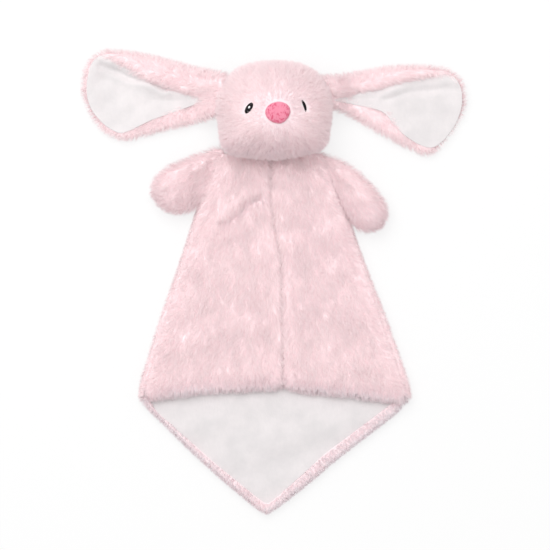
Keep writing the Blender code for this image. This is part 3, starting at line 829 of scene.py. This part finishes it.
HEAD_TIPS = spots(
    (-34.4, 227.3), (-22.6, 231.6), (-8.9, 233.6), (7.9, 234), (25.6, 231.6), (35.8, 226.8),
    (44.5, 221), (53, 208.6), (56.4, 194.8), (56.4, 184.7), (55.4, 174.6), (53.4, 160.6), (51.6, 152),
    (45.9, 146.6), (32.8, 143.6), (17.7, 140.6), (2.7, 139), (-12.4, 139.6), (-37.4, 141.8),
    (-48.2, 146), (-51.8, 150.6), (-52.7, 160.6), (-54.1, 174.6), (-56.1, 186), (-56.1, 194.8),
    (-51.6, 208.6), (-43, 220.8))
HEAD = inset(soft_outline(HEAD_TIPS, 0.003, 0.003), 0.0048)
HEAD_SEAM_Z = 0.030
HEAD_FRONT = 0.0405
HEAD_BACK = 0.0325
HEAD_SQUARENESS = 2.3
NOSE = np.array([0.0036, 0.1828])
EYES = {"left": np.array([-0.0244, 0.1873]), "right": np.array([0.0284, 0.1893])}
EYE_TILTS = {"left": 34, "right": -20}
EYE_SIZE = (0.0060, 0.0126)
EYE_SLANT = 0.36               # lean of the line up to which pile covers an eye
CHEEKS = spots((-27, 163), (31, 164))


def make_head():
    rings = []
    power = 2 / HEAD_SQUARENESS
    for angle in np.radians(np.linspace(-88, 88, 56)):
        spread = math.cos(angle) ** power
        rise = abs(math.sin(angle)) ** power * np.sign(angle)
        middle = mix(HEAD.mean(0), NOSE, max(rise, 0) * 0.8)
        plan = middle + (HEAD - middle) * max(spread, 0.02)
        z = np.full(len(plan), HEAD_SEAM_Z + (HEAD_FRONT if rise > 0 else HEAD_BACK) * rise)
        front = smooth_step((rise + 0.1) / 0.6)
        z += 0.0050 * front * np.exp(-np.sum((plan - NOSE) ** 2, axis=1) / (2 * 0.020 ** 2))
        for eye in EYES.values():
            z -= 0.0022 * front * np.exp(-np.sum((plan - eye) ** 2, axis=1) / 0.009 ** 2)
        for cheek in CHEEKS:
            z += 0.0022 * front * np.exp(-np.sum((plan - cheek) ** 2, axis=1) / 0.016 ** 2)
        z += front * 0.0009 * swell(plan, 0.028, 8)
        rings.append(np.column_stack([plan, np.maximum(z, 0.0012)]))
    cover = body_of_rings("head_cover", rings, FACE_BACKING)
    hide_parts("head_left_panel", "head_right_panel", "head_back_panel", "head_stuffing")
    return cover


def height_on(thing):
    """Function that gives the height of a body's top at 2-D points."""
    from_above = Vector((0, 0, -1))

    def height(points):
        return np.array([thing.ray_cast(Vector((x, y, 0.3)), from_above)[1][2] for x, y in points])
    return height


def oval(centre, width, length, tilt, squareness=2.0, count=64):
    """Closed oval outline; tilt turns its top to the right, in degrees."""
    angle = circle(count)
    x = np.sign(np.cos(angle)) * np.abs(np.cos(angle)) ** (2 / squareness) * width / 2
    y = np.sign(np.sin(angle)) * np.abs(np.sin(angle)) ** (2 / squareness) * length / 2
    c, s = math.cos(math.radians(tilt)), math.sin(math.radians(tilt))
    return centre + np.column_stack([x * c + y * s, -x * s + y * c])


NOSE_SHAPE = spots(
    (0, 10.8), (-6.2, 9.0), (-10.7, 5.4), (-12.5, 0.7), (-11.2, -4.4), (-7.6, -8.1), (-2.6, -10.4),
    (2.4, -11.1), (6.9, -9.0), (10.6, -4.8), (12.7, 0.3), (11.9, 4.9), (9.3, 8.2), (5, 10.2))


def across_eye(side, points):
    """How far points lie to the right of the slanted line through an eye's middle."""
    return points[:, 0] - EYES[side][0] + EYE_SLANT * (points[:, 1] - EYES[side][1])


def make_face(head):
    height = height_on(head)
    nose_outline = soft_outline(NOSE + NOSE_SHAPE, 0.0008, 0.0012)
    nose_colour = nose_material()
    black = thread_material("eye_thread", (0.006, 0.005, 0.006), (0.016, 0.014, 0.016), 0.6,
                            (1, 0.2, 0.2), 0.0)
    white = thread_material("highlight_thread", (0.80, 0.79, 0.80), (0.93, 0.92, 0.93), 0.5,
                            (1, 0.3, 0.3), 0.1)

    def nose_top(points):
        inside = np.clip(depth_in(nose_outline, points) / 0.011, 0, 1)
        dip = 0.0005 * np.exp(-((points[:, 0] - NOSE[0]) / 0.0022) ** 2)
        return height(points) + 0.0022 + 0.0034 * np.sqrt(1 - (1 - inside) ** 2) - dip

    def eye_top(side):
        def top(points):
            across = across_eye(side, points)
            low = 0.0011 * fade((across + 0.0002) / 0.0012) if side == "right" else 0
            return height(points) + 0.0009 - low
        return top

    nose = pad("nose_padded", nose_outline, lambda p: height(p) - 0.0012, nose_top, 0.0020, 26,
               nose_colour, NOSE)
    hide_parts("nose")
    pieces = [nose]
    for side in SIDES:
        outline, top = oval(EYES[side], *EYE_SIZE, EYE_TILTS[side], 1.9), eye_top(side)
        eye = pad(side + "_eye_stitched", outline, lambda p: height(p) - 0.0014, top, 0.0010, 16, black,
                  EYES[side])
        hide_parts(side + "_eye")
        spark_at = EYES[side] + np.array([0.0002, 0.0008] if side == "left" else [-0.0012, 0.0008])
        spark = pad(side + "_eye_spark", oval(spark_at, 0.0019, 0.0026, EYE_TILTS[side], 2.0, 28),
                    lambda p: top(p) - 0.0004, lambda p: top(p) + 0.0004, 0.0005, 8, white, spark_at)
        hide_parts(side + "_eye_highlight")
        pieces += [eye, spark]
    return pieces


def head_pile(head):
    nose_3d = np.array([*NOSE, 0.080])

    def far(points):
        return np.linalg.norm(points - nose_3d, axis=1)

    def length(points, normals):
        size = mix(0.0045, 0.0095, smooth_step((far(points) - 0.010) / 0.030))
        for side, eye in EYES.items():
            off = np.linalg.norm(points[:, :2] - eye, axis=1)
            near = np.exp(-(off / 0.011) ** 2) * (points[:, 2] > 0.03)
            size *= 1 - (0.45 if side == "left" else 0.25) * near
        chin = below(points, 0.150, 0.010) * (points[:, 2] > 0.020)
        size = np.where(normals[:, 2] < -0.6, 0.005, size + 0.002 * chin)
        under_chin = smooth_step((0.031 - points[:, 2]) / 0.006) * below(points, 0.160, 0.008)
        return mix(size, 0.0030, under_chin)

    def flow(points, normals):
        return unit(points - nose_3d + np.array([0, 0.004, 0]))

    def keep(points, normals):
        plan = points[:, :2]
        front = points[:, 2] > 0.035
        chance = np.where(normals[:, 2] < -0.6, 0.6, 1.0)
        bare = depth_in(NOSE + NOSE_SHAPE, plan) > -0.0008
        for side in SIDES:
            seen = across_eye(side, plan) > (-0.02 if side == "left" else -0.0030)
            bare |= (depth_in(oval(EYES[side], *EYE_SIZE, EYE_TILTS[side]), plan) > -0.0004) & seen
        near_eye = np.linalg.norm(plan - EYES["right"] + [0.005, 0], axis=1) < 0.0045
        return np.where(bare & front, 0.0, np.where(near_eye, 2.0, chance))

    def painted_shading(points, normals):
        # Painted shade round the nose
        near_nose = np.exp(-(np.linalg.norm(points[:, :2] - NOSE, axis=1) / 0.016) ** 2)
        # Painted light on the chin's lowest rim, against the shade under it
        rim = below(points, 0.1475, 0.003) * (points[:, 2] < 0.036)
        # Painted shadow on the chin, in blotches
        blotchy_chin_shadow = 0.42 + 0.17 * swell(points, 0.006, 61)
        return blotchy_chin_shadow * below(points, 0.168, 0.026) + 0.85 * near_nose - 0.4 * rim

    return pile("head_pile", head, length, flow, keep, 41, density=1.2, painted_shading=painted_shading)


# Ears

EAR_TIPS = {
    "left": spots(
        (-38, 215), (-44, 222.6), (-66, 227.4), (-85.6, 231.2), (-103, 236), (-120, 241.1), (-144, 245),
        (-166.3, 247), (-179, 240), (-186.5, 230), (-189, 215), (-189, 200.7), (-182, 184), (-174, 172),
        (-164.3, 162.4), (-147.6, 155.5), (-134, 158.5), (-120, 163.3), (-103, 167.5), (-85.6, 171.2),
        (-70, 175), (-52, 179.5), (-42, 188)),
    "right": spots(
        (38, 214), (45.3, 220.6), (70.8, 222.4), (91.5, 226.3), (120, 230.3), (144.6, 231.2),
        (169.2, 229.3), (181, 222.4), (186.9, 212), (188.6, 198), (187, 184), (179, 168.3),
        (169, 155.5), (156.5, 143.2), (149, 141.4), (141, 143.2), (120, 153.5), (98.4, 166.3),
        (84.6, 174.2), (68.9, 182.5), (52, 187), (42, 192)),
}
EAR_WHITES = {
    "left": spots(
        (-66, 197.5), (-80, 202), (-100, 208), (-120, 217), (-141, 228), (-160, 239), (-171, 241.5),
        (-180, 233), (-184.5, 215), (-184, 198), (-178, 184), (-166, 171), (-151, 162.5), (-140, 167),
        (-120, 177), (-98, 184.5), (-80, 191)),
    "right": spots(
        (56, 196), (65, 198), (78.5, 203.5), (95.5, 208), (133.5, 218), (153.5, 222), (172, 223),
        (180, 217), (185, 206), (185, 190), (179.5, 174), (170, 160), (160, 150.5), (152, 148.5),
        (139.5, 154), (125.5, 163.5), (114.5, 176), (109.5, 184), (98.5, 188), (85.5, 190.5),
        (70.5, 193.5)),
}
EAR_CREASES = {
    "left": spots((-170, 230), (-153, 224), (-142, 218.5), (-133, 217.5), (-123, 216), (-108, 208)),
    "right": spots((108, 196), (128, 203), (150, 206), (168, 208), (181, 207)),
}
EAR_CREASE_DEPTHS = {"left": 0.0024, "right": 0.0011}
EAR_LIFT = 0.0215              # height of the underside where the ear is sewn on
EAR_FALL = 0.034               # the ear comes down to the table over this length
EARS = {side: inset(soft_outline(tips, 0.0026, 0.004), 0.0040) for side, tips in EAR_TIPS.items()}
EAR_LININGS = {side: soft_outline(tips, 0.0026, 0.004) for side, tips in EAR_WHITES.items()}


def ear_base(side, points):
    out = np.abs(points[:, 0]) - 0.050
    sway = 0.0012 * swell(points, 0.06, 17 + SIDES[side]) + 0.0016
    return EAR_LIFT * fade(out / EAR_FALL) + sway * smooth_step((out - 0.02) / 0.03)


def ear_floor(side):
    """Height of the white side: a shallow trough with a crease."""
    def floor(points):
        inside = depth_in(EAR_LININGS[side], points)
        distance = distance_to(EAR_CREASES[side], points)
        z = ear_base(side, points) + 0.0050 + 0.0030 * fade(inside / 0.020)
        z += 0.0009 * swell(points, 0.028, 51) * smooth_step(inside / 0.008)
        groove = np.exp(-(distance / 0.0032) ** 2) - 0.5 * np.exp(-((distance - 0.006) / 0.004) ** 2)
        return z - EAR_CREASE_DEPTHS[side] * groove
    return floor


def make_ear(side):
    way = SIDES[side]
    outline, white = EARS[side], EAR_LININGS[side]
    floor = ear_floor(side)
    middle = np.array([way * 0.125, 0.201 if side == "left" else 0.190])

    def upper_half(points):
        run = np.abs(points[:, 0])
        centre_line = table(((0.04, 0.203), (0.09, 0.200), (0.14, 0.2 if side == "left" else 0.188),
                             (0.19, 0.205 if side == "left" else 0.19)), run)
        return smooth_step((points[:, 1] - centre_line) / 0.02 + 0.5)

    def rim(points):
        height = mix(0.0080, 0.0125, upper_half(points))
        return ear_base(side, points) + height + 0.0007 * swell(points, 0.03, 23)

    def high(points):
        inside = smooth_step((depth_in(white, points) + 0.003) / 0.007)
        return mix(rim(points), floor(points) - 0.0004, inside)

    cover = pad(side + "_ear_cover", outline, lambda p: ear_base(side, p) + 0.0010, high, 0.0042, 52,
                BACKING, middle)
    lining = pad(side + "_ear_lining_soft", white, floor, lambda p: floor(p) + 0.0014, LINING_EDGE, 52,
                 LINING, middle)

    def length(points, normals):
        return np.where(normals[:, 2] < -0.5, 0.0055, 0.0085)

    def flow(points, normals):
        distance = depth_in(outline, points[:, :2])
        tipwards = np.array([way, 0.0, 0.0])
        off = points[:, :2] - middle
        outwards = unit(np.column_stack([off * [0.55, 1.0], np.zeros(len(off))]))
        out = unit(mix(tipwards, outwards, (0.8 * fade(distance / 0.02))[:, None]))
        rolled = smooth_step((depth_in(white, points[:, :2]) + 0.012) / 0.011)
        over = rolled * upper_half(points) * (normals[:, 2] > 0)
        return unit(mix(out, tipwards - outwards, 0.8 * over[:, None]))

    def keep(points, normals):
        plan = points[:, :2]
        top = normals[:, 2] > 0
        chance = np.where(normals[:, 2] < -0.6, 0.75, 1.0)
        return np.where(top & (depth_in(white, plan) > 0.0012), 0.0, chance)

    strands = pile(side + "_ear_pile", cover, length, flow, keep, 61 + way)
    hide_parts(side + "_ear_plush")
    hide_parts(side + "_ear_lining")
    for thing in (cover, lining, strands):
        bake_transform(thing)
    declare_sheet(outline, [strands])
    declare_sheet(white, [])


# Arms and neck

ARM_TIPS = {
    "left": spots(
        (-44, 152), (-56, 153.5), (-70.8, 146.6), (-91.5, 137.8), (-108.2, 130.9), (-119, 120),
        (-123.6, 110), (-118, 97.4), (-110.2, 88), (-98.4, 83.2), (-84, 84), (-71, 89), (-62, 104),
        (-52, 128), (-44, 142)),
    "right": spots(
        (38, 146), (50, 146.5), (67.9, 138.7), (81.7, 128.9), (95.4, 115.1), (107.3, 102.3),
        (113.6, 91.5), (112.5, 80), (105.3, 69.5), (97.4, 65.5), (86, 65.5), (75, 69), (66, 84),
        (54, 110), (42, 132)),
}
ARM_SEAMS = {"left": spots((-56, 146), (-66, 112), (-73, 90)),
             "right": spots((50, 140), (58, 110), (72, 74))}
ARM_WAYS = {"left": (-0.9, -0.35, 0), "right": (0.75, -0.65, 0)}  # the pile runs towards the hands
ARMS = {side: inset(soft_outline(tips, 0.0024, 0.006), 0.0042) for side, tips in ARM_TIPS.items()}


def make_arm(side):
    way, outline, seam = SIDES[side], ARMS[side], ARM_SEAMS[side]
    middle = outline.mean(0) + np.array([way * 0.006, 0])

    def puff(points):
        return smooth_step((distance_to(seam, points) + 0.004) / 0.034)

    def high(points):
        return mix(0.0145, 0.0275, puff(points)) + 0.0008 * swell(points, 0.025, 71)

    def low(points):
        return mix(0.0060, 0.0012, puff(points))

    cover = pad(side + "_arm_cover", outline, low, high, 0.0165, 40, BACKING, middle)

    def length(points, normals):
        return np.where(normals[:, 2] < -0.6, 0.005, 0.0085)

    def flow(points, normals):
        off = points[:, :2] - middle
        radial = np.column_stack([off, np.full(len(off), -0.004)])
        return unit(mix(np.array(ARM_WAYS[side]), unit(radial), 0.22))

    def keep(points, normals):
        return np.where(normals[:, 2] < -0.7, 0.7, 1.0)

    def painted_shading(points, normals):
        # Painted shade: darker towards the lower side of the arm, where it turns away from the light
        lower = (middle[1] - points[:, 1]) * 0.9 + way * (middle[0] - points[:, 0]) * 0.25
        return 0.26 * smooth_step((lower + 0.004) / 0.018)

    strands = pile(side + "_arm_pile", cover, length, flow, keep, 81 + way, painted_shading=painted_shading)
    line = unit(seam[-1] - seam[0])
    across = np.array([-line[1], line[0]])
    across *= np.sign(across[0]) * way
    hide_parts(side + "_arm_front_panel", side + "_arm_back_panel", side + "_arm_stuffing")
    for thing in (cover, strands):
        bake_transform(thing)


def make_neck():
    """Gathered tube of cloth between the blanket and the head."""
    rings = []
    turn = circle(96)
    for share in np.linspace(0, 1, 22):
        y = mix(0.124, 0.152, share)
        pinch = 1 - 0.35 * math.sin(math.pi * share) ** 2
        pleat = 1 + 0.09 * np.cos(13 * turn) * math.sin(math.pi * share)
        wide, tall = 0.026 * pinch * pleat, 0.0048 * pinch * pleat
        rings.append(np.column_stack([0.001 + wide * np.cos(turn), np.full(len(turn), y),
                                      mix(0.0080, 0.0120, share) + tall * np.sin(turn)]))
    neck = body_of_rings("neck_pleats", rings, BACKING)
    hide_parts("neck_gather")
    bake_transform(neck)


# Building and placing the pieces

make_back()
for side in SIDES:
    make_front(side)
make_neck()
head = make_head()
face = make_face(head)
hair = head_pile(head)
for thing in (head, hair, *face):
    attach(thing, "head")
for side in SIDES:
    make_ear(side)
for side in SIDES:
    make_arm(side)


# Floor, light and camera

FLOOR_HALF = 4.0
FLOOR_WHITE = 0.75             # share of the floor that is seen as plain white
AMBIENT = 0.745
FRAME_WIDTH = 0.5412
CAMERA_HEIGHT = 7.0
SENSOR = 36


def seen_rays(tree):
    """Output that is 1 for what the camera sees, also mirrored and through glass, and 0 for other light."""
    path = tree.nodes.new("ShaderNodeLightPath")
    seen = path.outputs["Is Camera Ray"]
    for rays in ("Is Glossy Ray", "Is Transmission Ray"):
        either = tree.nodes.new("ShaderNodeMath")
        either.operation = "MAXIMUM"
        tree.links.new(seen, either.inputs[0])
        tree.links.new(path.outputs[rays], either.inputs[1])
        seen = either.outputs[0]
    return seen


def floor_material():
    """Pale floor that is seen partly as plain white light, and that still takes shadow."""
    m = Nodes("pale_floor")
    m.shader.inputs["Roughness"].default_value = 0.9
    m.shader.inputs["Specular IOR Level"].default_value = 0.0
    m.shader.inputs["Base Color"].default_value = (0.90, 0.90, 0.90, 1)
    part = m.add("Math", operation="MULTIPLY")
    m.link(seen_rays(m.tree), part.inputs[0])
    part.inputs[1].default_value = FLOOR_WHITE
    glow = m.add("Emission")
    glow.inputs["Strength"].default_value = 1.0
    both = m.add("MixShader")
    m.link(part.outputs[0], both.inputs[0])
    m.link(m.shader.outputs[0], both.inputs[1])
    m.link(glow.outputs[0], both.inputs[2])
    m.link(both.outputs[0], m.tree.nodes["Material Output"].inputs["Surface"])
    return m.material


floor_mesh = bpy.data.meshes.new("floor")
corners = [(x * FLOOR_HALF, y * FLOOR_HALF, 0) for x, y in ((-1, -1), (1, -1), (1, 1), (-1, 1))]
floor_mesh.from_pydata(corners, [], [(0, 1, 2, 3)])
floor = bpy.data.objects.new("floor", floor_mesh)
floor_mesh.materials.append(floor_material())
bpy.context.scene.collection.objects.link(floor)

world = bpy.data.worlds.new("studio")
bpy.context.scene.world = world
world.use_nodes = True
tree = world.node_tree
background = tree.nodes["Background"]
background.inputs["Color"].default_value = (1, 1, 1, 1)
power = tree.nodes.new("ShaderNodeMapRange")
power.inputs["To Min"].default_value = AMBIENT
power.inputs["To Max"].default_value = 1.0
tree.links.new(seen_rays(tree), power.inputs["Value"])
tree.links.new(power.outputs[0], background.inputs["Strength"])

lamp_at, lamp_target = Vector((-0.35, 0.8, 1.5)), Vector((0, 0.03, 0))
lamp_data = bpy.data.lights.new("key", "AREA")
lamp_data.shape = "DISK"
lamp_data.size = 1.5
lamp_data.energy = 16
lamp = bpy.data.objects.new("key", lamp_data)
lamp.location = lamp_at
lamp.rotation_mode = "QUATERNION"
lamp.rotation_quaternion = (lamp_target - lamp_at).to_track_quat("-Z", "Y")
bpy.context.scene.collection.objects.link(lamp)

camera_data = bpy.data.cameras.new("camera")
camera_data.sensor_width = SENSOR
camera_data.lens = SENSOR * CAMERA_HEIGHT / FRAME_WIDTH
camera = bpy.data.objects.new("camera", camera_data)
camera.location = (0.001, 0.0246, CAMERA_HEIGHT)
bpy.context.scene.collection.objects.link(camera)
bpy.context.scene.camera = camera
bpy.context.scene.view_settings.view_transform = "Standard"
